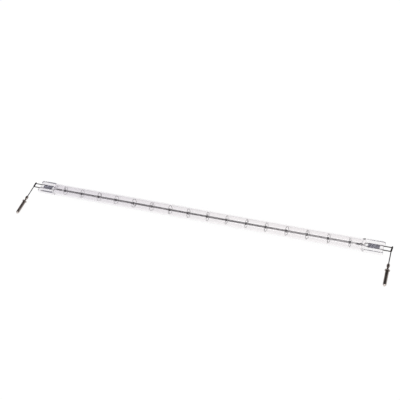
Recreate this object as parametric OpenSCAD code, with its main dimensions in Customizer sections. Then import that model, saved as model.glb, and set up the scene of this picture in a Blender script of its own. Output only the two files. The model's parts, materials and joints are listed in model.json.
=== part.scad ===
// Double-ended quartz heating tube, in millimetres.
// The tube lies along X with its middle at the origin. The pinch flats face up and down,
// and both contact pins lie towards -Y with their tips on the surface under the tube.

/* [Quartz tube] */
// Outside diameter of the tube
tube_od = 11; // [9:0.5:14]
// Wall thickness of the tube
tube_wall = 1.25; // [1:0.05:1.6]
// Length of coil that glows, from the first support ring to the last
lit_len = 280; // [150:1:420]
// Length from the last support ring to the end of the quartz
unlit_end = 28.7; // [27:0.1:36]

/* [Pinch seal] */
// Length of the pressed flat, from the foot of the shoulder to the end of the quartz
pinch_len = 15.3; // [14.5:0.1:18]
// Width of the pinch across its two rails
pinch_w = 12.4; // [11.5:0.1:15]
// Thickness of the web between the rails
web_t = 3; // [2.6:0.1:3.6]
// How far the web stops short of the ends of the rails
web_recess = 0.8; // [0.4:0.1:1.6]
// Width of each rail
rail_w = 3.1; // [2.8:0.1:3.4]
// Height of each rail
rail_h = 5; // [4.6:0.1:6]
// Radius of the rails' long edges
rail_round = 1.4; // [0.8:0.1:1.5]
// Radius of the two curves of the shoulder between tube and web
shoulder_r = 2.1; // [2:0.1:2.8]
// Room above the inner lead where the flattened end of the bore closes
slit_room = 0.17; // [0.15:0.01:0.25]

/* [Coil] */
// Thickness of the coil's wire
coil_wire_d = 0.4; // [0.3:0.05:0.5]
// Length of the close-wound turns that hold each inner lead
coil_grip_len = 4.4; // [3:0.1:6]
// Bare inner lead between the coil and the foot of the shoulder
lead_bare_len = 3.9; // [3:0.1:5]

/* [Support rings] */
// Number of support rings
ring_count = 16; // [4:1:30]
// Thickness of the ring wire
ring_wire_d = 0.34; // [0.25:0.01:0.4]
// Number of inner turns that grip the coil
ring_grip_turns = 4; // [2:1:6]
// Bite of the grip turns into each other, as a part of the wire's thickness
ring_bite = 0.12; // [0.05:0.01:0.3]
// Angle that the outer loop runs along the bore
ring_wrap = 318; // [240:1:330]
// Lean of the outer loop out of the square plane
ring_lean = 5; // [0:0.5:7]
// Turn of each ring about the tube from the one before it
ring_step = 137; // [0:1:359]

/* [Leads and foils] */
// Thickness of the inner lead wire
inner_lead_d = 0.5; // [0.4:0.05:0.5]
// Gap between the two legs of the inner lead where the coil holds them
inner_lead_gap = 0.06; // [0.03:0.01:0.08]
// Swell of the inner lead wire at a sharp bend, as a part of its thickness
bend_swell = 0.03; // [0.02:0.01:0.06]
// Length of each inner leg welded on the foil
inner_lap = 2; // [1:0.1:3]
// Thickness of the outer leads
outer_lead_d = 0.9; // [0.6:0.05:1.1]
// Distance between the axes of the two outer leads
lead_spacing = 4; // [3:0.1:4.4]
// Length of each outer lead welded on the foil
outer_lap = 2.6; // [1:0.1:3.5]
// Distance that the outer leads stand out of the quartz to the axis of the terminal wire
lead_out = 6.3; // [4:0.1:10]
// Stub of each outer lead past the axis of the terminal wire
lead_stub = 0.35; // [0.2:0.05:1]
// Width of the sealing foil
foil_w = 5; // [4.5:0.1:5.6]
// Length of the sealing foil
foil_len = 10; // [8:0.1:10.5]
// Distance from the foot of the shoulder to the foil
foil_setback = 1.6; // [1.2:0.1:2.5]
// Width of the feathered strip along each long edge of the foil
foil_feather = 0.35; // [0.2:0.05:0.35]
// Thickness of the foil between its feathered edges
foil_t = 0.06; // [0.04:0.01:0.1]
// Thickness of the foil at its feathered edges
foil_edge_t = 0.02; // [0.01:0.005:0.03]
// Depth that the terminal wire's weld sinks into the outer leads
weld_sink = 0.05; // [0.03:0.01:0.1]

/* [Terminals] */
// Thickness of the terminal wire
wire_d = 0.85; // [0.6:0.05:1.1]
// Width of the flattened head of the terminal wire
head_w = 1.3; // [1.2:0.1:1.8]
// Thickness of the flattened head
head_t = 0.62; // [0.5:0.02:0.8]
// Overhang of the flattened head past the axis of each outer lead
head_over = 0.75; // [0.6:0.05:1.5]
// Length over which the flattened head swells back to round wire
taper_len = 1; // [0.6:0.1:2]
// Length of free wire from the head to the mouth of the crimp barrel
wire_free = 11.2; // [6:0.1:20]
// Lean of the left wire and pin away from the tube
left_lean = 8; // [0:0.5:15]
// Lean of the right wire and pin away from the tube
right_lean = 4; // [0:0.5:15]

/* [Contact pins] */
// Diameter of the pin
pin_d = 3; // [2:0.1:4]
// Length of the pin from its collar to its tip
pin_len = 13.8; // [8:0.1:20]
// Length of the conical tip
tip_len = 1.3; // [0.8:0.1:2]
// Diameter of the flat at the very tip
tip_flat_d = 1.1; // [0.8:0.1:1.6]
// Diameter of the collar
collar_d = 4.4; // [4.2:0.1:5.5]
// Thickness of the collar
collar_t = 1; // [0.8:0.1:2]
// Chamfer of the collar's edges
collar_chamfer = 0.2; // [0.1:0.05:0.3]
// Diameter of the neck between collar and barrel
neck_d = 1.6; // [1.4:0.1:1.8]
// Length of the neck
neck_len = 1.7; // [1:0.1:3]
// Diameter of the crimp barrel
barrel_d = 2.7; // [2.5:0.1:3.2]
// Length of the crimp barrel
barrel_len = 4; // [3.5:0.1:6]
// Length of the cone at each end of the barrel
barrel_cone = 1.2; // [0.8:0.1:1.6]
// Wall left round the wire at the barrel's mouth
mouth_wall = 0.3; // [0.2:0.05:0.4]
// Depth of the blind hole that holds the wire
wire_hole_depth = 3; // [2:0.1:3.2]
// Radius of the crimping jaws
crimp_jaw_r = 1.5; // [1:0.1:2]
// Depth of the two crimp marks
crimp_depth = 0.3; // [0.1:0.02:0.4]

/* [Hidden] */
$fn = 72;
eps = 0.01;
// Running clearance between pieces that slide or grip, and between the rings and the bore
grip_clear = 0.02;
ring_clear = 0.2;

tube_r = tube_od / 2;
bore_r = tube_r - tube_wall;
quartz_end = lit_len / 2 + unlit_end;
web_end = quartz_end - web_recess;
foot_x = quartz_end - pinch_len;
shoulder_drop = tube_r - web_t / 2;
shoulder_len = sqrt(4 * shoulder_r * shoulder_drop - pow(shoulder_drop, 2));
shoulder_x = foot_x - shoulder_len;

foil_x0 = foot_x + foil_setback;
foil_x1 = foil_x0 + foil_len;
inner_leg_y = lead_spacing / 2 - inner_lead_d / 2;
inner_twin_y = (inner_lead_d + inner_lead_gap) / 2;
// The leads sink into the soft foil by a third of its thickness
foil_seat_z = foil_t / 2 - foil_t / 3;
inner_lead_z = foil_seat_z + inner_lead_d / 2;
outer_lead_z = foil_seat_z + outer_lead_d / 2;
bore_slit = 2 * (inner_lead_z + inner_lead_d / 2 + slit_room);
// The coil is wound to fit over the two legs of the inner lead
coil_id = 2 * inner_lead_d + inner_lead_gap + 2 * grip_clear;
coil_od = coil_id + 2 * coil_wire_d;
coil_end = foot_x - lead_bare_len;
bow_x = coil_end - coil_grip_len + inner_twin_y + inner_lead_d / 2;

ring_pitch = lit_len / (ring_count - 1);
ring_grip_pitch = ring_wire_d * (1 - ring_bite);
ring_in_r = coil_od / 2 + grip_clear + ring_wire_d / 2;
ring_out_r = bore_r - ring_clear - ring_wire_d / 2;

wire_x = quartz_end + lead_out;
head_z = outer_lead_z + outer_lead_d / 2 - weld_sink + head_t / 2;
head_y = lead_spacing / 2 + head_over;
// The free wire starts past the crown of the near lead, so that it clears it
wire_root_y = lead_spacing / 2 + outer_lead_d / 3;
pin_base = wire_free + barrel_len + neck_len + collar_t;
pin_round_end = pin_base + pin_len - tip_len;
// The wires droop just far enough for the round of each pin to touch the surface under the tube
droop = asin((tube_r + head_z) / norm([pin_round_end, pin_d / 2])) - atan(pin_d / 2 / pin_round_end);

SIDES = ["left", "right"];
RINGS = [for (i = [1 : ring_count]) str("support_ring_", i < 10 ? "0" : "", i)];
ENDS = [
    for (s = SIDES)
        for (n = ["inner_lead", "foil", "outer_lead_far", "outer_lead_near", "terminal_wire", "contact_pin"])
            str(s, "_", n)
];

// Extrusions along X and Y of a flat outline drawn in the plane across them
module along_x(x0, x1) {
    translate([x0, 0, 0])
        rotate([90, 0, 90])
            linear_extrude(x1 - x0)
                children();
}

module along_y(half_w) {
    translate([0, half_w, 0])
        rotate([90, 0, 0])
            linear_extrude(2 * half_w)
                children();
}

// A round bar from point a to point b
module bar(a, b, d) {
    v = b - a;
    translate(a)
        rotate([0, acos(v.z / norm(v)), atan2(v.y, v.x)])
            cylinder(d = d, h = norm(v));
}

// The left end is the right end mirrored, so that both pins lie towards -Y
module at_side(side) {
    if (side == "left") mirror([1, 0, 0]) children();
    else children();
}

// Draws its children at both ends of the tube
module both_ends() {
    for (s = SIDES)
        at_side(s) children();
}

module both_faces() {
    children();
    mirror([0, 1]) children();
}

// Side view of the tube and its webs: two tangent curves join the round tube to the flat
module shoulder_outline() {
    difference() {
        translate([-web_end, -tube_r])
            square([2 * web_end, tube_od]);
        both_ends()
            both_faces()
                difference() {
                    translate([shoulder_x, web_t / 2])
                        square([web_end, tube_r]);
                    translate([shoulder_x, tube_r - shoulder_r])
                        circle(shoulder_r);
                    difference() {
                        translate([shoulder_x, 0])
                            square([foot_x - shoulder_x, (tube_r + web_t / 2) / 2]);
                        translate([foot_x, web_t / 2 + shoulder_r])
                            circle(shoulder_r);
                    }
                }
    }
}

// Cross-section of one rail, with rounded long edges
module rail_section() {
    inner = pinch_w / 2 - rail_w;
    for (y = [inner + rail_round, pinch_w / 2 - rail_round])
        for (z = [-1, 1])
            translate([y, z * (rail_h / 2 - rail_round)])
                circle(rail_round);
    translate([inner + rail_round, -rail_h / 2])
        square([rail_w - 2 * rail_round, rail_h]);
    translate([inner, -rail_h / 2 + rail_round])
        square([rail_w, rail_h - 2 * rail_round]);
}

// Plan view of a rail: it swells out of the tube and ends in a round nose
module rail_plan() {
    nose = rail_w / 2;
    mid = pinch_w / 2 - nose;
    swell = rail_w;
    translate([shoulder_x + swell, mid - nose])
        square([quartz_end - nose - shoulder_x - swell, rail_w]);
    translate([quartz_end - nose, mid])
        circle(nose);
    intersection() {
        translate([shoulder_x + swell, mid - nose])
            circle(swell);
        translate([shoulder_x, mid - nose])
            square([swell + eps, rail_w]);
    }
}

module rails() {
    for (m = [0, 1])
        mirror([0, m, 0])
            intersection() {
                along_x(shoulder_x, quartz_end) rail_section();
                translate([0, 0, -rail_h])
                    linear_extrude(2 * rail_h)
                        rail_plan();
            }
}

// Outside of the quartz, with nothing hollow
module quartz_blank() {
    intersection() {
        rotate([0, 90, 0])
            cylinder(r = tube_r, h = 2 * web_end, center = true);
        along_y(tube_r) shoulder_outline();
    }
    both_ends() rails();
}

// Side view of the bore: round, then closing between the pressed shoulders
module bore_outline() {
    close_r = web_t / 2 + shoulder_r - bore_slit / 2;
    difference() {
        translate([-foot_x, -bore_r])
            square([2 * foot_x, 2 * bore_r]);
        both_ends()
            both_faces()
                translate([foot_x, web_t / 2 + shoulder_r])
                    circle(close_r);
    }
}

// Plan view of the bore: its ends are round
module bore_plan() {
    square([2 * (foot_x - bore_r), 2 * bore_r], center = true);
    both_ends()
        translate([foot_x - bore_r, 0])
            circle(bore_r);
}

module bore() {
    intersection() {
        rotate([0, 90, 0])
            cylinder(r = bore_r, h = 2 * foot_x, center = true);
        along_y(bore_r) bore_outline();
        translate([0, 0, -bore_r])
            linear_extrude(2 * bore_r)
                bore_plan();
    }
}

// The pocket that the foil and the leads fill at one end
module seal_pocket() {
    foil_strip();
    inner_lead_wire();
    for (far = [-1, 1])
        outer_lead_wire(far);
}

module quartz_envelope() {
    color([0.86, 0.86, 0.89, 0.45])
        difference() {
            quartz_blank();
            bore();
            both_ends() seal_pocket();
        }
}

// The coil as a tube of its own outside and inside diameter: the turns are close together
module filament_coil() {
    color([0.35, 0.34, 0.36])
        translate([-coil_end, 0, 0])
            rotate([0, 90, 0])
                difference() {
                    cylinder(d = coil_od, h = 2 * coil_end);
                    translate([0, 0, -eps])
                        cylinder(d = coil_id, h = 2 * (coil_end + eps));
                }
}

// A piece of round wire bent on a radius, in the plane across X, from angle a for sweep degrees
module wire_arc(radius, a, sweep) {
    rotate([90, 0, 90])
        rotate([0, 0, a])
            rotate_extrude(angle = sweep)
                translate([radius, 0])
                    circle(d = ring_wire_d, $fn = 24);
}

// Grip turns round the coil, a half turn that swings out, and the loop along the bore
module support_ring(i) {
    x = -lit_len / 2 + (i - 1) * ring_pitch;
    swing_r = (ring_in_r + ring_out_r) / 2;
    lean = (i % 2 == 0 ? 1 : -1) * ring_lean;
    color([0.42, 0.41, 0.43])
        translate([x, 0, 0])
            rotate([ring_step * i, 0, 0]) {
                for (k = [0 : ring_grip_turns - 1])
                    translate([(k - (ring_grip_turns - 1) / 2) * ring_grip_pitch, 0, 0])
                        wire_arc(ring_in_r, 0, 360);
                translate([0, -ring_in_r, 0])
                    rotate([0, 0, lean])
                        translate([0, ring_in_r, 0]) {
                            translate([0, swing_r - ring_in_r, 0])
                                wire_arc(swing_r, 180, 180);
                            wire_arc(ring_out_r, 0, ring_wrap);
                        }
            }
}

// Thin foil whose long edges are feathered
module foil_strip() {
    edge = [foil_w / 2, foil_edge_t / 2];
    flat = [foil_w / 2 - foil_feather, foil_t / 2];
    along_x(foil_x0, foil_x1)
        polygon([
            for (q = [[1, 1], [-1, 1], [-1, -1], [1, -1]])
                for (p = q.x * q.y > 0 ? [edge, flat] : [flat, edge])
                    [q.x * p.x, q.y * p.y]
        ]);
}

module foil() {
    color([0.52, 0.52, 0.58]) foil_strip();
}

// Hairpin: two legs for the foil, drawn together to a bow inside the coil's end
module inner_lead_wire() {
    neck_x = coil_end + inner_lead_d;
    for (s = [-1, 1]) {
        leg = [foil_x0, s * inner_leg_y, inner_lead_z];
        twin = [neck_x, s * inner_twin_y, 0];
        bar(leg, leg + [inner_lap, 0, 0], inner_lead_d);
        bar(twin, leg, inner_lead_d);
        bar([bow_x, twin.y, 0], twin, inner_lead_d);
        for (p = [leg, twin])
            translate(p)
                rotate([90, 0, 0])
                    sphere(d = inner_lead_d * (1 + bend_swell), $fn = 32);
    }
    translate([bow_x, 0, 0])
        rotate([0, 0, 90])
            rotate_extrude(angle = 180)
                translate([inner_twin_y, 0])
                    circle(d = inner_lead_d, $fn = 32);
}

module inner_lead() {
    color([0.34, 0.33, 0.36])
        difference() {
            inner_lead_wire();
            foil_strip();
        }
}

// One of the two stiff leads: its inner end lies on the foil, its outer end under the terminal wire
module outer_lead_wire(far) {
    translate([foil_x1 - outer_lap, far * lead_spacing / 2, outer_lead_z])
        rotate([0, 90, 0])
            cylinder(d = outer_lead_d, h = wire_x + lead_stub - foil_x1 + outer_lap, $fn = 36);
}

module outer_lead(far) {
    color([0.40, 0.39, 0.41])
        difference() {
            outer_lead_wire(far);
            foil_strip();
            wire_head();
        }
}

// Flattened head of the terminal wire, lying across the two outer leads
module wire_head() {
    translate([wire_x, 0, head_z - head_t / 2])
        linear_extrude(head_t)
            union() {
                square([head_w, 2 * head_y - head_w], center = true);
                for (s = [-1, 1])
                    translate([0, s * (head_y - head_w / 2)])
                        circle(d = head_w, $fn = 36);
            }
}

// Frame of the free wire and pin: its own Z runs from the head towards the tip, its own Y upwards
module along_wire(lean) {
    translate([wire_x, -wire_root_y, head_z])
        rotate([90 + droop, 0, lean])
            children();
}

module terminal_wire(lean) {
    color([0.45, 0.42, 0.41]) {
        wire_head();
        along_wire(lean) {
            cylinder(d1 = head_t - 2 * weld_sink, d2 = wire_d, h = taper_len, $fn = 36);
            translate([0, 0, taper_len])
                cylinder(d = wire_d, h = wire_free + wire_hole_depth - taper_len, $fn = 36);
        }
    }
}

// Half profile of the turned pin, from the barrel's mouth to the tip
function pin_profile() = let (
    mouth_r = wire_d / 2 + mouth_wall,
    z1 = wire_free + barrel_len,
    z2 = z1 + neck_len,
    z3 = pin_base,
    z4 = pin_round_end,
    c = collar_chamfer
) [
    [0, wire_free],
    [mouth_r, wire_free],
    [barrel_d / 2, wire_free + barrel_cone],
    [barrel_d / 2, z1 - barrel_cone],
    [neck_d / 2, z1],
    [neck_d / 2, z2],
    [collar_d / 2 - c, z2],
    [collar_d / 2, z2 + c],
    [collar_d / 2, z3 - c],
    [collar_d / 2 - c, z3],
    [pin_d / 2, z3],
    [pin_d / 2, z4],
    [tip_flat_d / 2, pin_base + pin_len],
    [0, pin_base + pin_len]
];

module contact_pin(lean) {
    crimp_z = wire_free + barrel_len / 2;
    color([0.36, 0.33, 0.31])
        along_wire(lean)
            difference() {
                rotate_extrude() polygon(pin_profile());
                translate([0, 0, wire_free - eps])
                    cylinder(d = wire_d, h = wire_hole_depth + eps, $fn = 36);
                for (s = [-1, 1])
                    translate([-barrel_d, s * (barrel_d / 2 + crimp_jaw_r - crimp_depth), crimp_z])
                        rotate([0, 90, 0])
                            cylinder(r = crimp_jaw_r, h = 2 * barrel_d);
            }
}

quartz_envelope();
filament_coil();
for (i = [1 : ring_count])
    support_ring(i);
for (s = SIDES) {
    lean = s == "left" ? left_lean : right_lean;
    at_side(s) inner_lead();
    at_side(s) foil();
    at_side(s) outer_lead(1);
    at_side(s) outer_lead(-1);
    at_side(s) terminal_wire(lean);
    at_side(s) contact_pin(lean);
}
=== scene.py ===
# %% [markdown]
# # A quartz heating tube
# The lamp is a long clear quartz tube, pressed flat at both ends, with a fine tungsten coil inside. The
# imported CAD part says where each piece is. This lesson gives every piece its look: real glass to look
# through, a coil with real turns, rings of thin wire, and turned pins that have seen some heat.

import json
import math

import bmesh
import bpy
from mathutils import Matrix, Vector


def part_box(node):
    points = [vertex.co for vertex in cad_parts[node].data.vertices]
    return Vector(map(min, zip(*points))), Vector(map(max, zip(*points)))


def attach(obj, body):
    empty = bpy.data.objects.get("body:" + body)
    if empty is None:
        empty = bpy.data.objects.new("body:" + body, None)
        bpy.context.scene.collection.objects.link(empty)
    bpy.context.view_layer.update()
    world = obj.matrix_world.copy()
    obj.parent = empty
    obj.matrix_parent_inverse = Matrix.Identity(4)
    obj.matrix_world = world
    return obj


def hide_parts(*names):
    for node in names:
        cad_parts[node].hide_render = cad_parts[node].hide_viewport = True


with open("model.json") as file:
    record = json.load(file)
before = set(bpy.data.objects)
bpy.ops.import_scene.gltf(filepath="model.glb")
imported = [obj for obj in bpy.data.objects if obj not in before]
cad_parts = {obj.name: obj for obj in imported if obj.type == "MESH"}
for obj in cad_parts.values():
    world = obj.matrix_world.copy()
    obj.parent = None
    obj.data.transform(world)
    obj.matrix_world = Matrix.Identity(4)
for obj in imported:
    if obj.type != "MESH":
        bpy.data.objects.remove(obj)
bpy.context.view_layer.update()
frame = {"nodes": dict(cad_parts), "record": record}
MM = 0.001
print("CAD nodes:", len(frame["nodes"]))

# %% [markdown]
# ## Reading sizes from the frame
# A piece that is made anew has to lie where the CAD piece lies. Typing its numbers again would be the
# quick way, but they would go stale when the part changes. So places are read from the boxes round the CAD
# nodes, and only sizes that a box can't tell are written here, in millimetres.


# %% Corners of a node in millimetres
def corners(node):
    low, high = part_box(node)
    return Vector(low) / MM, Vector(high) / MM


glass_low, glass_high = corners("quartz_envelope")
coil_high = corners("filament_coil")[1]
tube_r = -glass_low.z
print("glass from", glass_low, "to", glass_high)

# %% [markdown]
# ## The camera
# The photograph looks down along the tube from the front right. A long lens from well away keeps the far
# end nearly as wide as the near one. The three axes of the camera are written as directions, because that
# says exactly how it is turned, and the rotation matrix is made of them.

# %% Camera at the photograph's viewing angle
PLACE = Vector((0.31999, -0.43281, 0.59719))
RIGHT = Vector((0.90348, 0.37303, -0.21109))
DOWN = Vector((0.15687, -0.74610, -0.64709))
AHEAD = Vector((-0.39888, 0.55152, -0.73261))
LENS = 81
SENSOR = 36
camera = bpy.data.objects.new("camera", bpy.data.cameras.new("camera"))
camera.data.lens = LENS
camera.data.sensor_width = SENSOR
turn = Matrix((RIGHT, -DOWN, -AHEAD)).transposed()
camera.matrix_world = Matrix.Translation(PLACE) @ turn.to_4x4()
bpy.context.scene.collection.objects.link(camera)
bpy.context.scene.camera = camera
bpy.context.scene.view_settings.view_transform = "Standard"
print("lens of", LENS, "mm at", PLACE)

# %% [markdown]
# Light in a glass rail is mirrored many times before it leaves. With the usual few bounces such paths end
# in black, which shows as dark outlines round the pinch, so far more are allowed here.

# %% Bounces for glass
BOUNCES = 96
light_paths = bpy.context.scene.cycles
light_paths.max_bounces = BOUNCES
light_paths.transmission_bounces = BOUNCES
light_paths.glossy_bounces = BOUNCES
print("bounces:", BOUNCES)

# %% [markdown]
# ## Node helpers
# A material is a small graph. Two helpers keep the cells that follow short: one makes a node and sets its
# inputs, and one joins an output to an input.


# %% Helpers for shader graphs
def add(tree, kind, values=None, **options):
    node = tree.nodes.new(kind)
    for key, value in options.items():
        setattr(node, key, value)
    for key, value in (values or {}).items():
        node.inputs[key].default_value = value
    return node


def wire(tree, source, output, target, socket):
    tree.links.new(source.outputs[output], target.inputs[socket])


def new_material(name):
    material = bpy.data.materials.new(name)
    material.use_nodes = True
    tree = material.node_tree
    return material, tree, tree.nodes["Principled BSDF"]


print("helpers ready")

# %% [markdown]
# ## Floor, room and lamps
# The lamp was photographed on white. A floor that is only lit never quite reaches white, and more light
# would burn out the glass. So part of its colour is its own glow, for rays that come from the camera or
# through glass or off metal. The rest is ordinary white paint, which keeps the soft shadow.

# %% Floor
FLOOR_SIZE = 6
PAPER = (0.95, 0.95, 0.95, 1)
WHITE = (1, 1, 1, 1)
GLOW_SHARE = 0.9
PAPER_GLOW = 1.05
floor_bm = bmesh.new()
bmesh.ops.create_grid(floor_bm, x_segments=1, y_segments=1, size=FLOOR_SIZE / 2)
bmesh.ops.translate(floor_bm, verts=floor_bm.verts, vec=(0, 0, -tube_r * MM))
floor_mesh = bpy.data.meshes.new("floor")
floor_bm.to_mesh(floor_mesh)
floor_bm.free()
floor = bpy.data.objects.new("floor", floor_mesh)
bpy.context.scene.collection.objects.link(floor)

paper, tree, shader = new_material("white paper")
shader.inputs["Base Color"].default_value = PAPER
shader.inputs["Roughness"].default_value = 1
shader.inputs["Specular IOR Level"].default_value = 0
path = add(tree, "ShaderNodeLightPath")
seen = add(tree, "ShaderNodeMath", operation="MAXIMUM")
seen_all = add(tree, "ShaderNodeMath", operation="MAXIMUM")
share = add(tree, "ShaderNodeMath", {1: GLOW_SHARE}, operation="MULTIPLY")
glow = add(tree, "ShaderNodeEmission", {"Color": WHITE, "Strength": PAPER_GLOW})
blend = add(tree, "ShaderNodeMixShader")
wire(tree, path, "Is Camera Ray", seen, 0)
wire(tree, path, "Is Glossy Ray", seen, 1)
wire(tree, seen, 0, seen_all, 0)
wire(tree, path, "Is Transmission Ray", seen_all, 1)
wire(tree, seen_all, 0, share, 0)
wire(tree, share, 0, blend, 0)
wire(tree, shader, 0, blend, 1)
wire(tree, glow, 0, blend, 2)
wire(tree, blend, 0, tree.nodes["Material Output"], "Surface")
floor_mesh.materials.append(paper)
print("floor at", -tube_r, "mm")

# %% [markdown]
# Clear glass has no colour of its own to show: it is drawn by what it bends and mirrors. In an all-white
# room it would vanish. Photographers stand a dark card on the far side, so that the upper flank of the
# glass mirrors something grey. Here the room does the same: it's white, with a soft grey patch behind the
# lamp. Rays that mirror off the pins, or off the skin of the tube, meet a darker ceiling instead. That gives
# the pins their dark crown between two lighter flanks, which mirror the paper.

# %% Room with a grey card on the far side
CARD_AT = Vector((-0.16, 0.75, 0.65)).normalized()
CARD_INNER = 0.92
CARD_OUTER = 0.55
CARD_GREY = (0.46, 0.44, 0.46, 1)
CEILING = (0.10, 0.10, 0.10, 1)
CEILING_LOW = 0.15
CEILING_HIGH = 0.6
ROOM_WHITE = (0.80, 0.80, 0.81, 1)
world = bpy.data.worlds.new("studio")
bpy.context.scene.world = world
world.use_nodes = True
tree = world.node_tree
tree.nodes.clear()
way = add(tree, "ShaderNodeTexCoord")
facing = add(tree, "ShaderNodeVectorMath", {1: CARD_AT}, operation="DOT_PRODUCT")
fade = add(tree, "ShaderNodeMapRange", {1: CARD_OUTER, 2: CARD_INNER}, interpolation_type="SMOOTHSTEP")
mirrored = add(tree, "ShaderNodeMath", operation="SUBTRACT", use_clamp=True)
high = add(tree, "ShaderNodeSeparateXYZ")
rise = add(tree, "ShaderNodeMapRange", {1: CEILING_LOW, 2: CEILING_HIGH}, interpolation_type="SMOOTHSTEP")
overhead = add(tree, "ShaderNodeMath", operation="MULTIPLY")
tone = add(tree, "ShaderNodeMix", {6: ROOM_WHITE, 7: CARD_GREY}, data_type="RGBA")
dimmed = add(tree, "ShaderNodeMix", {7: CEILING}, data_type="RGBA")
room = add(tree, "ShaderNodeBackground")
backdrop = add(tree, "ShaderNodeBackground", {"Color": WHITE})
path = add(tree, "ShaderNodeLightPath")
blend = add(tree, "ShaderNodeMixShader")
out = add(tree, "ShaderNodeOutputWorld")
wire(tree, way, "Generated", facing, 0)
wire(tree, facing, "Value", fade, 0)
wire(tree, path, "Is Glossy Ray", mirrored, 0)
wire(tree, path, "Is Transmission Ray", mirrored, 1)
wire(tree, way, "Generated", high, 0)
wire(tree, high, "Z", rise, 0)
wire(tree, mirrored, 0, overhead, 0)
wire(tree, rise, 0, overhead, 1)
wire(tree, fade, 0, tone, 0)
wire(tree, overhead, 0, dimmed, 0)
wire(tree, tone, 2, dimmed, 6)
wire(tree, dimmed, 2, room, "Color")
wire(tree, path, "Is Camera Ray", blend, 0)
wire(tree, room, 0, blend, 1)
wire(tree, backdrop, 0, blend, 2)
wire(tree, blend, 0, out, "Surface")
print("room is white, with a grey patch towards", CARD_AT)

# %% [markdown]
# Two area lamps give the few highlights: a long strip low in front draws a line along the tube and the
# rails, and a weak square one from above softens the shadows. Each is turned to the lamp's middle, which
# is the origin.


# %% Two soft lamps
def soft_lamp(name, place, size, watts):
    lamp = bpy.data.lights.new(name, "AREA")
    lamp.shape = "RECTANGLE"
    lamp.size, lamp.size_y = size
    lamp.energy = watts
    holder = bpy.data.objects.new(name, lamp)
    holder.location = place
    holder.rotation_euler = (-Vector(place)).to_track_quat("-Z", "Y").to_euler()
    holder.visible_camera = False
    bpy.context.scene.collection.objects.link(holder)
    print(name, "at", place)


soft_lamp("front strip", (0.35, -0.95, 0.42), (1.8, 0.22), 3.0)
soft_lamp("overhead", (-0.5, -0.2, 1.4), (0.8, 0.8), 1.2)

# %% [markdown]
# ## Finishes
# Every finish here is a little uneven, so they share one pattern: noise on Object coordinates, which can
# be stretched along the tube. Most values of a noise lie near its middle, so that part is spread over the
# wanted range.

# %% Helpers for uneven finishes
NOISE_LOW = 0.3
NOISE_HIGH = 0.7
NOISE_DETAIL = 3


def stretched_noise(tree, along, across):
    """Noise on Object coordinates, in waves per metre along the tube and across it."""
    place = add(tree, "ShaderNodeTexCoord")
    sizing = add(tree, "ShaderNodeMapping", {"Scale": (along, across, across)})
    noise = add(tree, "ShaderNodeTexNoise", {"Scale": 1, "Detail": NOISE_DETAIL})
    wire(tree, place, "Object", sizing, "Vector")
    wire(tree, sizing, "Vector", noise, "Vector")
    return noise


def remap(tree, source, low, high):
    """The middle of a noise, mapped to the range low to high."""
    node = add(tree, "ShaderNodeMapRange", {1: NOISE_LOW, 2: NOISE_HIGH, 3: low, 4: high})
    wire(tree, source, 0, node, 0)
    return node


print("noise helpers ready")

# %% [markdown]
# Fused quartz is water-clear, and its surface keeps faint lines from the drawing of the tube. Noise that
# is stretched a hundred times along the tube gives such lines, as a very slight bump and change of
# roughness. The tint in the base colour is there because thick quartz looks a little violet against white
# paper. The base colour is also made darker towards the left end than at the right one, which is painted
# shade.

# %% Quartz
QUARTZ_IOR = 1.458
QUARTZ_ROUGH = 0.03
LINES_ALONG = 6
LINES_ACROSS = 900
# painted shade: between these two places the glass's base colour darkens towards the left end
PAINTED_SHADE_FROM = -170 * MM
PAINTED_SHADE_TO = 50 * MM
PALE_SHADED_LEFT = (0.905, 0.89, 0.91, 1)
PALE_RIGHT = (0.975, 0.962, 0.965, 1)
DEEP_SHADED_LEFT = (0.865, 0.845, 0.87, 1)
DEEP_RIGHT = (0.94, 0.922, 0.928, 1)
quartz, tree, shader = new_material("clear fused quartz")
shader.inputs["Transmission Weight"].default_value = 1
shader.inputs["IOR"].default_value = QUARTZ_IOR
lines = stretched_noise(tree, LINES_ALONG, LINES_ACROSS)
rough = remap(tree, lines, 0, QUARTZ_ROUGH)
wire(tree, rough, 0, shader, "Roughness")
bump = add(tree, "ShaderNodeBump", {"Strength": 0.008, "Distance": 0.1 * MM})
wire(tree, lines, 0, bump, "Height")
wire(tree, bump, 0, shader, "Normal")
place = add(tree, "ShaderNodeTexCoord")
split = add(tree, "ShaderNodeSeparateXYZ")
# painted shade: this ramp darkens the glass's base colour towards the left end of the tube
along = add(tree, "ShaderNodeMapRange", {1: PAINTED_SHADE_FROM, 2: PAINTED_SHADE_TO}, interpolation_type="SMOOTHSTEP")
pale = add(tree, "ShaderNodeMix", {6: PALE_SHADED_LEFT, 7: PALE_RIGHT}, data_type="RGBA")
deep = add(tree, "ShaderNodeMix", {6: DEEP_SHADED_LEFT, 7: DEEP_RIGHT}, data_type="RGBA")
tint = add(tree, "ShaderNodeMix", data_type="RGBA")
wire(tree, place, "Object", split, 0)
wire(tree, split, "X", along, 0)
wire(tree, along, 0, pale, 0)
wire(tree, along, 0, deep, 0)
wire(tree, lines, 0, tint, 0)
wire(tree, deep, 2, tint, 6)
wire(tree, pale, 2, tint, 7)
wire(tree, tint, 2, shader, "Base Color")
print("made", quartz.name)

# %% [markdown]
# The metal inside was drawn, wound and run hot in a clean gas, so it is plain grey and a little uneven.
# One function makes all these metals from two shades and a range of roughness, with fine noise between
# them.


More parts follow.
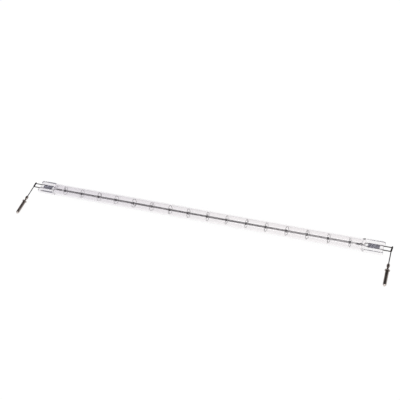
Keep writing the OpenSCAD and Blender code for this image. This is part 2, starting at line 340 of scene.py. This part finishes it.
# %% Drawn and heated metals
def worn_metal(name, dark, light, rough, waves=900, metallic=1.0):
    """A metal with fine noise between two shades, and between the two values of rough."""
    material, tree, shader = new_material(name)
    shader.inputs["Metallic"].default_value = metallic
    grain = stretched_noise(tree, waves, waves)
    tone = add(tree, "ShaderNodeMix", {6: (*dark, 1), 7: (*light, 1)}, data_type="RGBA")
    even = remap(tree, grain, 0, 1)
    wire(tree, even, 0, tone, 0)
    wire(tree, tone, 2, shader, "Base Color")
    matte = remap(tree, grain, *rough)
    wire(tree, matte, 0, shader, "Roughness")
    bump = add(tree, "ShaderNodeBump", {"Strength": 0.2, "Distance": 0.02 * MM})
    wire(tree, grain, 0, bump, "Height")
    wire(tree, bump, 0, shader, "Normal")
    print("made", name)
    return material, tree, shader, tone


coil_metal = worn_metal("wound tungsten", (0.33, 0.32, 0.33), (0.48, 0.47, 0.48), (0.35, 0.5))[0]
ring_metal = worn_metal("ring tungsten", (0.12, 0.115, 0.12), (0.22, 0.21, 0.22), (0.3, 0.5))[0]
inner_metal = worn_metal("dark inner lead", (0.05, 0.045, 0.05), (0.10, 0.09, 0.10), (0.4, 0.6))[0]
foil_metal = worn_metal(
    "blue-grey foil", (0.41, 0.41, 0.47), (0.48, 0.48, 0.54), (0.45, 0.55), 250, metallic=0.15
)[0]
lead_metal, lead_tree, lead_shader, lead_tone = worn_metal(
    "outer lead", (0.07, 0.063, 0.06), (0.16, 0.148, 0.14), (0.3, 0.5)
)
wire_metal, tree, shader, tone = worn_metal(
    "terminal wire", (0.03, 0.029, 0.034), (0.07, 0.067, 0.072), (0.3, 0.5)
)

# %% [markdown]
# Air burnt the leads brown, but only where it reached them. Inside the quartz they're still clean. Their
# distance from the middle of the lamp tells which is which.

# %% Clean leads inside the glass
CLEAN = (0.50, 0.48, 0.50, 1)
BURN_FROM = (glass_high.x - 2.5) * MM
BURN_TO = (glass_high.x - 0.3) * MM
place = add(lead_tree, "ShaderNodeTexCoord")
split = add(lead_tree, "ShaderNodeSeparateXYZ")
away = add(lead_tree, "ShaderNodeMath", operation="ABSOLUTE")
burnt = add(lead_tree, "ShaderNodeMapRange", {1: BURN_FROM, 2: BURN_TO})
mixed = add(lead_tree, "ShaderNodeMix", {6: CLEAN}, data_type="RGBA")
wire(lead_tree, place, "Object", split, 0)
wire(lead_tree, split, "X", away, 0)
wire(lead_tree, away, 0, burnt, 0)
wire(lead_tree, burnt, 0, mixed, 0)
wire(lead_tree, lead_tone, 2, mixed, 7)
wire(lead_tree, mixed, 2, lead_shader, "Base Color")
print("leads are clean inside the glass")

# %% [markdown]
# The weld on the leads was red hot, so the wire is burnt brown at its head and clean again some
# millimetres on. Both wires run towards -Y, so a ramp on the Y coordinate carries the burnt colour along
# them.

# %% Heat tint on the terminal wire
BURNT = (0.055, 0.042, 0.040, 1)
COOL_FROM = -1.5 * MM
COOL_TO = -8 * MM
place = add(tree, "ShaderNodeTexCoord")
split = add(tree, "ShaderNodeSeparateXYZ")
cooled = add(tree, "ShaderNodeMapRange", {1: COOL_FROM, 2: COOL_TO}, interpolation_type="SMOOTHSTEP")
burn = add(tree, "ShaderNodeMix", {6: BURNT}, data_type="RGBA")
wire(tree, place, "Object", split, 0)
wire(tree, split, "Y", cooled, 0)
wire(tree, cooled, 0, burn, 0)
wire(tree, tone, 2, burn, 7)
wire(tree, burn, 2, shader, "Base Color")
print("heat tint on", wire_metal.name)

# %% [markdown]
# The pins have a dark, thin plating. At the tip and on the edges a pale tan is mixed in: partly bare metal
# where the plating is rubbed off, partly painted highlight. The pin's own mesh will carry that amount at
# every vertex, and the material mixes the tan in by it.

# %% Pin plating
BARE_AND_HIGHLIGHT = (0.62, 0.57, 0.54, 1)
pin_metal, tree, shader, tone = worn_metal(
    "dark plated pin", (0.16, 0.13, 0.117), (0.28, 0.235, 0.21), (0.15, 0.28), 500
)
# painted highlight and wear: a pale tan is mixed into the pin at its tip and edges
wear_and_highlight_amount = add(tree, "ShaderNodeAttribute", attribute_name="wear_and_highlight")
bared_and_highlit = add(tree, "ShaderNodeMix", {7: BARE_AND_HIGHLIGHT}, data_type="RGBA")
wire(tree, wear_and_highlight_amount, "Fac", bared_and_highlit, 0)
wire(tree, tone, 2, bared_and_highlit, 6)
wire(tree, bared_and_highlit, 2, shader, "Base Color")
print("bright wear on", pin_metal.name)

# %% [markdown]
# ## From a bmesh to a piece of the lamp
# Each shape ends the same way: its doubles are merged, its faces turned outwards, and its shading made
# smooth except across real corners. Then the CAD nodes that the piece stands for are hidden.

# %% Finish a piece
WELD = 0.001 * MM


def finish_piece(bm, name, material, nodes, corner=35, outward=True):
    """The bmesh as an object that stands for nodes. An edge bent by corner degrees or more stays sharp."""
    bmesh.ops.remove_doubles(bm, verts=bm.verts, dist=WELD)
    if outward:
        bmesh.ops.recalc_face_normals(bm, faces=bm.faces)
    for face in bm.faces:
        face.smooth = True
    for edge in bm.edges:
        edge.smooth = edge.calc_face_angle(0) < math.radians(corner)
    mesh = bpy.data.meshes.new(name)
    bm.to_mesh(mesh)
    bm.free()
    mesh.materials.append(material)
    piece = bpy.data.objects.new(name, mesh)
    bpy.context.scene.collection.objects.link(piece)
    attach(piece, "root")
    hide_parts(*nodes)
    return piece


def welded_copy(node):
    """The CAD mesh of a node, with the seams between its triangles closed."""
    bm = bmesh.new()
    bm.from_mesh(frame["nodes"][node].data)
    bmesh.ops.remove_doubles(bm, verts=bm.verts, dist=WELD)
    return bm


print("pieces can be finished")

# %% [markdown]
# ## The quartz
# The pinch is pressed between two jaws while the quartz glows: a round tube turns into a flat web between
# two rounded rails. The CAD mesh has that form, but long thin triangles that twist, and in glass every
# twist shows as a smear. So the glass is made anew with even faces: a circle of vertices is extruded from
# station to station, and then each vertex is pressed. A jaw's outline is two arcs: one rolls over the
# shoulder of the tube and one runs out into the web.

# %% Sizes of the pinch
GLASS_SIDES = 128
BORE_R = 4.25
WEB_HALF = 1.5
SHOULDER_R = 2.1
PINCH_LENGTH = 15.3
SLIT_HALF = 0.69
PINCH_HALF = glass_high.y
quartz_end = glass_high.x
foot = quartz_end - PINCH_LENGTH
drop = tube_r - WEB_HALF
shoulder = foot - math.sqrt(4 * SHOULDER_R * drop - drop**2)
print("the pinch starts at", round(shoulder, 2), "mm and its web at", round(foot, 2), "mm")

# %% [markdown]
# The side view of the jaw is a row of stations, each with its x and its half height. They lie close
# together where the jaw curves. The glass is drawn in over the last stretch, where the fire rounded the
# end.

# %% Stations along one pinch
ARC_STEPS = 12
RAMP = 2
RAMP_STEPS = 8
WEB_STATIONS = 13
SOFT = 0.6
END_ROUND = 1.2
LAST_STEP = 0.001
MOUTH_STEP = 0.02


def arc(x, z, radius, start, end):
    """Points of an arc in the side view, from one angle in degrees to another."""
    angles = [math.radians(start + (end - start) * k / ARC_STEPS) for k in range(ARC_STEPS + 1)]
    return [(x + radius * math.cos(a), z + radius * math.sin(a)) for a in angles]


steepest = math.degrees(math.asin((foot - shoulder) / 2 / SHOULDER_R))
outer_stations = []
for k in range(RAMP_STEPS):
    t = k / RAMP_STEPS
    outer_stations.append((shoulder - RAMP * (1 - t), tube_r + SOFT * (1 - t) ** 2))
outer_stations += arc(shoulder, tube_r - SHOULDER_R, SHOULDER_R, 90, 90 - steepest)
outer_stations += arc(foot, WEB_HALF + SHOULDER_R, SHOULDER_R, 270 - steepest, 270)[1:]
outer_stations += [(foot + k, WEB_HALF) for k in range(1, WEB_STATIONS + 1)]
outer_stations += [(x, WEB_HALF) for x, _ in arc(quartz_end - END_ROUND, 0, END_ROUND, 270, 360)[:-1]]
outer_stations += [(quartz_end - LAST_STEP, WEB_HALF), (quartz_end, WEB_HALF)]
close_r = WEB_HALF + SHOULDER_R - SLIT_HALF
bore_stations = [(foot - BORE_R, BORE_R), (foot - close_r - MOUTH_STEP, BORE_R)]
bore_stations += arc(foot, WEB_HALF + SHOULDER_R, close_r, 180, 270)
print("stations:", len(outer_stations), "outside,", len(bore_stations), "in the bore")

# %% [markdown]
# The same function makes the outside and the bore from their stations. It hands every vertex to a function
# that says where the jaws leave it, in millimetres.


# %% A pressed tube
def pressed_tube(radius, stations, press):
    """A tube along X through the stations and their mirror images, with each vertex moved by press."""
    bm = bmesh.new()
    row = [(-x, z) for x, z in reversed(stations)] + stations
    turn = Matrix.Rotation(math.pi / 2, 4, "Y")
    ring = bmesh.ops.create_circle(bm, segments=GLASS_SIDES, radius=radius * MM, matrix=turn)["verts"]
    bmesh.ops.translate(bm, verts=ring, vec=(row[0][0] * MM, 0, 0))
    rings = [ring]
    for (x0, _), (x1, _) in zip(row, row[1:]):
        edges = list({e for v in rings[-1] for e in v.link_edges if e.other_vert(v) in rings[-1]})
        grown = bmesh.ops.extrude_edge_only(bm, edges=edges)["geom"]
        ring = [g for g in grown if isinstance(g, bmesh.types.BMVert)]
        bmesh.ops.translate(bm, verts=ring, vec=((x1 - x0) * MM, 0, 0))
        rings.append(ring)
    for (x, height), ring in zip(row, rings):
        for v in ring:
            reach, y, z = press(abs(x), v.co.y / MM, v.co.z / MM, height)
            v.co = Vector((math.copysign(reach, x), y, z)) * MM
    bmesh.ops.remove_doubles(bm, verts=bm.verts, dist=WELD)
    bmesh.ops.dissolve_degenerate(bm, edges=bm.edges, dist=WELD)
    bmesh.ops.recalc_face_normals(bm, faces=bm.faces)
    return bm


print("a tube can be pressed")

# %% [markdown]
# On the outside, the jaw has a groove for each rail. Soft glass never fills a sharp corner, so the lower
# of jaw and tube is taken with a soft minimum. The glass that is squeezed away swells the flanks, and the
# fire rounds the free end. The last station is closed by laying its upper half on its lower one.


# %% Jaws for the outside
RAIL_HALF = 2.5
RAIL_FOOT = 2.7
RAIL_CREST = 3.7
WEB_RECESS = 0.8
RECESS_RUN = 4
SWELL_PAST = 1


def smooth_step(start, end, value):
    t = max(0, min(1, (value - start) / (end - start)))
    return t * t * (3 - 2 * t)


def soft_min(a, b):
    near = max(SOFT - abs(a - b), 0) / SOFT
    return min(a, b) - near * near * SOFT / 4


def press_outside(x, y, z, height):
    """Where the jaws and the fire leave a vertex of the round tube."""
    rail = smooth_step(RAIL_FOOT, RAIL_CREST, abs(y))
    rail_top = -soft_min(-height, -RAIL_HALF)
    jaw = height + (rail_top - height) * rail
    z = math.copysign(soft_min(abs(z), jaw), z)
    swell = smooth_step(shoulder, foot + SWELL_PAST, x) * (PINCH_HALF / tube_r - 1)
    y *= 1 + swell * (y / tube_r) ** 2
    past = max(0, x - (quartz_end - END_ROUND))
    drawn_in = END_ROUND - math.sqrt(max(0, END_ROUND**2 - past**2))
    y *= 1 - drawn_in / PINCH_HALF * (y / PINCH_HALF) ** 2
    z *= 1 - drawn_in / RAIL_HALF
    if x >= quartz_end:
        z = 0
    x -= WEB_RECESS * (1 - rail) * smooth_step(quartz_end - RECESS_RUN, quartz_end, x)
    return x, y, z


outer_bm = pressed_tube(tube_r, outer_stations, press_outside)
print("outside:", len(outer_bm.faces), "faces")

# %% [markdown]
# The bore is round in plan at its ends and closes to a thin slit there. Its faces look inwards, because a
# face of glass points towards the air. It is put in as an inner shell that is never cut.


# %% Bore and glass
def press_bore(x, y, z, height):
    """Where the closing glass leaves a vertex of the bore."""
    past = max(0, x - (foot - BORE_R))
    side = math.sqrt(max(0, BORE_R**2 - past**2))
    return x, max(-side, min(side, y)), max(-height, min(height, z))


bore_bm = pressed_tube(BORE_R, bore_stations, press_bore)
bmesh.ops.holes_fill(bore_bm, edges=[e for e in bore_bm.edges if e.is_boundary], sides=0)
bmesh.ops.recalc_face_normals(bore_bm, faces=bore_bm.faces)
bmesh.ops.reverse_faces(bore_bm, faces=bore_bm.faces)
bore_mesh = bpy.data.meshes.new("bore")
bore_bm.to_mesh(bore_mesh)
bore_bm.free()
outer_bm.from_mesh(bore_mesh)
open_edges = sum(not e.is_manifold for e in outer_bm.edges)
glass = finish_piece(outer_bm, "quartz_glass", quartz, ["quartz_envelope"], 40, outward=False)
print("glass:", len(glass.data.polygons), "faces, edges that are open:", open_edges)

# %% [markdown]
# ## The coil
# Tungsten wire is wound on a mandrel: close turns at each end hold the inner lead, then a few stretched
# turns stay dark, and the long middle glows. A spin with a step along the axis turns a small circle into a
# helix. To spin hundreds of turns would be slow, because each step looks through the whole mesh. So a few
# turns are spun, and then doubled again and again until the stretch is full.

# %% Turns of wire
WIRE = 0.4
TURN_STEPS = 20
WIRE_SIDES = 6
coil_r = coil_high.z


def wire_circle(bm, wire_d, sides, place, facing):
    """A ring of vertices for a wire, with its middle at place and square to facing, in millimetres."""
    turn = Vector(facing).to_track_quat("Z", "Y").to_matrix().to_4x4()
    ring = bmesh.ops.create_circle(
        bm, segments=sides, radius=wire_d / 2 * MM, matrix=Matrix.Translation(Vector(place) * MM) @ turn
    )
    return ring["verts"] + list({e for v in ring["verts"] for e in v.link_edges})


def wind(bm, start, end, turns, doublings):
    """Fills the stretch from start to end with turns, which are spun and then doubled so many times."""
    pitch = (end - start) / (turns * 2**doublings)
    known = set(bm.verts)
    tip = wire_circle(bm, WIRE, WIRE_SIDES, (start, 0, coil_r - WIRE / 2), (0, 1, 0))
    bmesh.ops.spin(
        bm,
        geom=tip,
        cent=(0, 0, 0),
        axis=(-1, 0, 0),
        dvec=(pitch / TURN_STEPS * MM, 0, 0),
        angle=2 * math.pi * turns,
        steps=turns * TURN_STEPS,
        use_merge=False,
    )
    made = [v for v in bm.verts if v not in known]
    for doubling in range(doublings):
        whole = made + list({e for v in made for e in v.link_edges})
        whole += list({f for v in made for f in v.link_faces})
        twin = bmesh.ops.duplicate(bm, geom=whole)["geom"]
        added = [g for g in twin if isinstance(g, bmesh.types.BMVert)]
        bmesh.ops.translate(bm, verts=added, vec=(pitch * turns * 2**doubling * MM, 0, 0))
        made += added
    return turns * 2**doublings


print("a coil can be wound")

# %% [markdown]
# The coil's five stretches share one wire, so each starts where the last one ends, and the doubled
# vertices there are merged. The outermost rings mark the ends of the lit length, and the bow of the inner
# lead marks the grip.

# %% Coil with its turns
RING_COUNT = 16
GRIP_WINDS = 10
STRETCHED_WINDS = 4
LIT_WINDS = 7
LIT_DOUBLINGS = 6
ring_low, ring_high = corners(f"support_ring_{RING_COUNT:02d}")
lit_end = (ring_low.x + ring_high.x) / 2
grip_start = corners("right_inner_lead")[0].x
tail = coil_high.x - WIRE / 2
coil_bm = bmesh.new()
turns_in_all = wind(coil_bm, -tail, -grip_start, GRIP_WINDS, 0)
turns_in_all += wind(coil_bm, grip_start, tail, GRIP_WINDS, 0)
turns_in_all += wind(coil_bm, -grip_start, -lit_end, STRETCHED_WINDS, 0)
turns_in_all += wind(coil_bm, lit_end, grip_start, STRETCHED_WINDS, 0)
turns_in_all += wind(coil_bm, -lit_end, lit_end, LIT_WINDS, LIT_DOUBLINGS)
bmesh.ops.remove_doubles(coil_bm, verts=coil_bm.verts, dist=WELD)
bmesh.ops.holes_fill(coil_bm, edges=[e for e in coil_bm.edges if e.is_boundary], sides=WIRE_SIDES)
finish_piece(coil_bm, "coil", coil_metal, ["filament_coil"], 70)
print("turns of the coil:", turns_in_all)

# %% [markdown]
# ## The support rings
# Each ring is one wire: four turns grip the coil, half a turn swings out, and a loop lies along the bore.
# Three spins make it, one after the other, each about its own centre. A spin hands back its last section,
# and the next spin goes on from there.

# %% A spin that can be gone on from
RING_WIRE = 0.34
RING_SIDES = 8
RING_STEPS = 24


def spin_on(bm, tip, centre, axis, degrees, step=(0, 0, 0)):
    steps = max(2, round(RING_STEPS * abs(degrees) / 360))
    spun = bmesh.ops.spin(
        bm,
        geom=tip,
        cent=Vector(centre) * MM,
        axis=axis,
        dvec=Vector(step) * MM / steps,
        angle=math.radians(degrees),
        steps=steps,
        use_merge=False,
    )
    return [g for g in spun["geom_last"] if not isinstance(g, bmesh.types.BMFace)]


print("a wire goes round in", RING_STEPS, "steps")

# %% [markdown]
# Every other ring leans the other way, and each is turned about the tube against its neighbour, because no
# two rings were threaded in at the same angle.

# %% Support rings
GRIP_TURNS = 4
GRIP_PITCH = 0.3
GRIP_CLEAR = 0.02
LOOP_TURN = 318
RING_TURN = 137
RING_LEAN = 5
X_AXIS = Vector((1, 0, 0))
grip_r = coil_r + GRIP_CLEAR + RING_WIRE / 2
loop_r = -ring_low.z - RING_WIRE / 2
swing_r = (grip_r + loop_r) / 2
for number in range(1, RING_COUNT + 1):
    node = f"support_ring_{number:02d}"
    low, high = corners(node)
    lean = math.radians(RING_LEAN if number % 2 == 0 else -RING_LEAN)
    tilt = Matrix.Rotation(lean, 3, "Z")
    bm = bmesh.new()
    grip_length = GRIP_PITCH * (GRIP_TURNS - 1)
    tip = wire_circle(bm, RING_WIRE, RING_SIDES, (-grip_length, -grip_r, 0), (0, 0, 1))
    tip = spin_on(bm, tip, (0, 0, 0), X_AXIS, 360 * (GRIP_TURNS - 1), (grip_length, 0, 0))
    tilted = tilt @ X_AXIS
    swing_at = tilt @ Vector((0, swing_r, 0)) - Vector((0, grip_r, 0))
    loop_at = tilt @ Vector((0, grip_r, 0)) - Vector((0, grip_r, 0))
    tip = spin_on(bm, tip, swing_at, tilted, 180)
    tip = spin_on(bm, tip, loop_at, tilted, LOOP_TURN)
    bmesh.ops.holes_fill(bm, edges=[e for e in bm.edges if e.is_boundary], sides=RING_SIDES)
    turn = Matrix.Rotation(math.radians(RING_TURN * number), 3, "X")
    bmesh.ops.rotate(bm, verts=bm.verts, matrix=turn)
    bmesh.ops.translate(bm, verts=bm.verts, vec=((low.x + high.x) / 2 * MM, 0, 0))
    finish_piece(bm, f"ring_{number:02d}", ring_metal, [node], 70)
print("rings:", RING_COUNT, "with a loop radius of", round(loop_r, 2), "mm")

# %% [markdown]
# ## The leads and the foil
# These are plain bars and a strip, and the CAD solids show them truly. Welded copies keep their form and
# shade smoothly.

# %% Leads, foils and terminal wires
for side in ("left", "right"):
    for node, metal, slot in (
        ("inner_lead", inner_metal, "inner_lead"),
        ("foil", foil_metal, "foil"),
        ("outer_lead_far", lead_metal, "outer_lead"),
        ("outer_lead_near", lead_metal, "outer_lead"),
        ("terminal_wire", wire_metal, "terminal_wire"),
    ):
        bm = welded_copy(f"{side}_{node}")
        piece = finish_piece(bm, f"{side}_{node}_smooth", metal, [f"{side}_{node}"], outward=False)
        print(piece.name, len(piece.data.polygons), "faces")

# %% [markdown]
# ## The contact pins
# A pin is turned on a lathe, so its half profile is spun once round. The profile is a row of stations,
# each with its distance from the collar's face, its radius, and how much pale tan is mixed in there, which
# is plating rubbed off and painted highlight. Extra stations between them let the tan fade softly.

# %% Profile of a pin
STATION_GAP = 0.2
PROFILE = [
    (-6.7, 0.0, 0.0),
    (-6.7, 0.66, 0.1),
    (-6.63, 0.725, 0.5),
    (-5.5, 1.35, 0.25),
    (-3.9, 1.35, 0.25),
    (-2.7, 0.8, 0.0),
    (-1.05, 0.8, 0.0),
    (-1.0, 2.0, 0.1),
    (-0.8, 2.2, 0.5),
    (-0.2, 2.2, 0.5),
    (0.0, 2.0, 0.2),
    (0.0, 1.5, 0.0),
    (0.6, 1.5, 0.05),
    (12.3, 1.5, 0.2),
    (12.5, 1.5, 0.8),
    (13.66, 0.64, 0.9),
    (13.8, 0.5, 1.0),
    (13.8, 0.0, 1.0),
]


def dense_profile():
    """The profile with stations at most about STATION_GAP apart."""
    rows = []
    for (z0, r0, b0), (z1, r1, b1) in zip(PROFILE, PROFILE[1:]):
        rows.append((z0, r0, b0))
        parts = max(1, round(abs(z1 - z0) / STATION_GAP))
        for k in range(1, parts):
            t = k / parts
            rows.append((z0 + (z1 - z0) * t, r0 + (r1 - r0) * t, b0 + (b1 - b0) * t))
    return rows + [PROFILE[-1]]


print("stations of a pin:", len(dense_profile()))

# %% [markdown]
# The crimp comes after the turning: two round jaws press a shallow groove on opposite sides of the barrel.
# So a vertex there may stand out only as far as the jaw lets it. The record's mount gives the middle of
# the round pin and where it points, and the pin is turned and moved to lie there.

# %% Contact pins
PIN_SIDES = 48
ROUND_LENGTH = 12.5
BARREL_MIDDLE = -4.7
BARREL_R = 1.35
JAW_R = 1.5
JAW_DEPTH = 0.3
FREE = 10
UP = Vector((0, 0, 1))


def jaw_limit(z):
    """How far the wall of the barrel may stand out under the jaws, at a distance from the collar."""
    reach = JAW_R**2 - (z - BARREL_MIDDLE) ** 2
    return BARREL_R - JAW_DEPTH + JAW_R - math.sqrt(reach) if reach > 0 else FREE


for mount in frame["record"]["mounts"]:
    if mount["kind"] != "pin":
        continue
    side = mount["name"].split("_")[0]
    axis = Vector(mount["axis"]).normalized()
    collar = Vector(mount["pos_m"]) - axis * ROUND_LENGTH / 2 * MM
    bm = bmesh.new()
    # painted highlight and wear: how much pale tan each vertex of the pin gets
    wear_and_highlight = bm.verts.layers.float.new("wear_and_highlight")
    row = []
    for z, r, b in dense_profile():
        v = bm.verts.new((r * MM, 0, z * MM))
        v[wear_and_highlight] = b
        row.append(v)
    edges = [bm.edges.new(pair) for pair in zip(row, row[1:])]
    bmesh.ops.spin(
        bm,
        geom=row + edges,
        cent=(0, 0, 0),
        axis=(0, 0, 1),
        angle=2 * math.pi,
        steps=PIN_SIDES,
        use_merge=True,
    )
    for v in bm.verts:
        limit = jaw_limit(v.co.z / MM) * MM
        v.co.y = max(-limit, min(limit, v.co.y))
    across = axis.cross(UP).normalized()
    lift = across.cross(axis)
    turn = Matrix((across, lift, axis)).transposed()
    bmesh.ops.transform(bm, matrix=Matrix.Translation(collar) @ turn.to_4x4(), verts=bm.verts)
    piece = finish_piece(bm, f"{side}_pin", pin_metal, [f"{side}_contact_pin"])
    print(piece.name, "points towards", axis)

# %% [markdown]
# ## The dressed lamp
# The dressed lamp has to be as large as the CAD part.

# %% The end
print("the lamp is dressed")
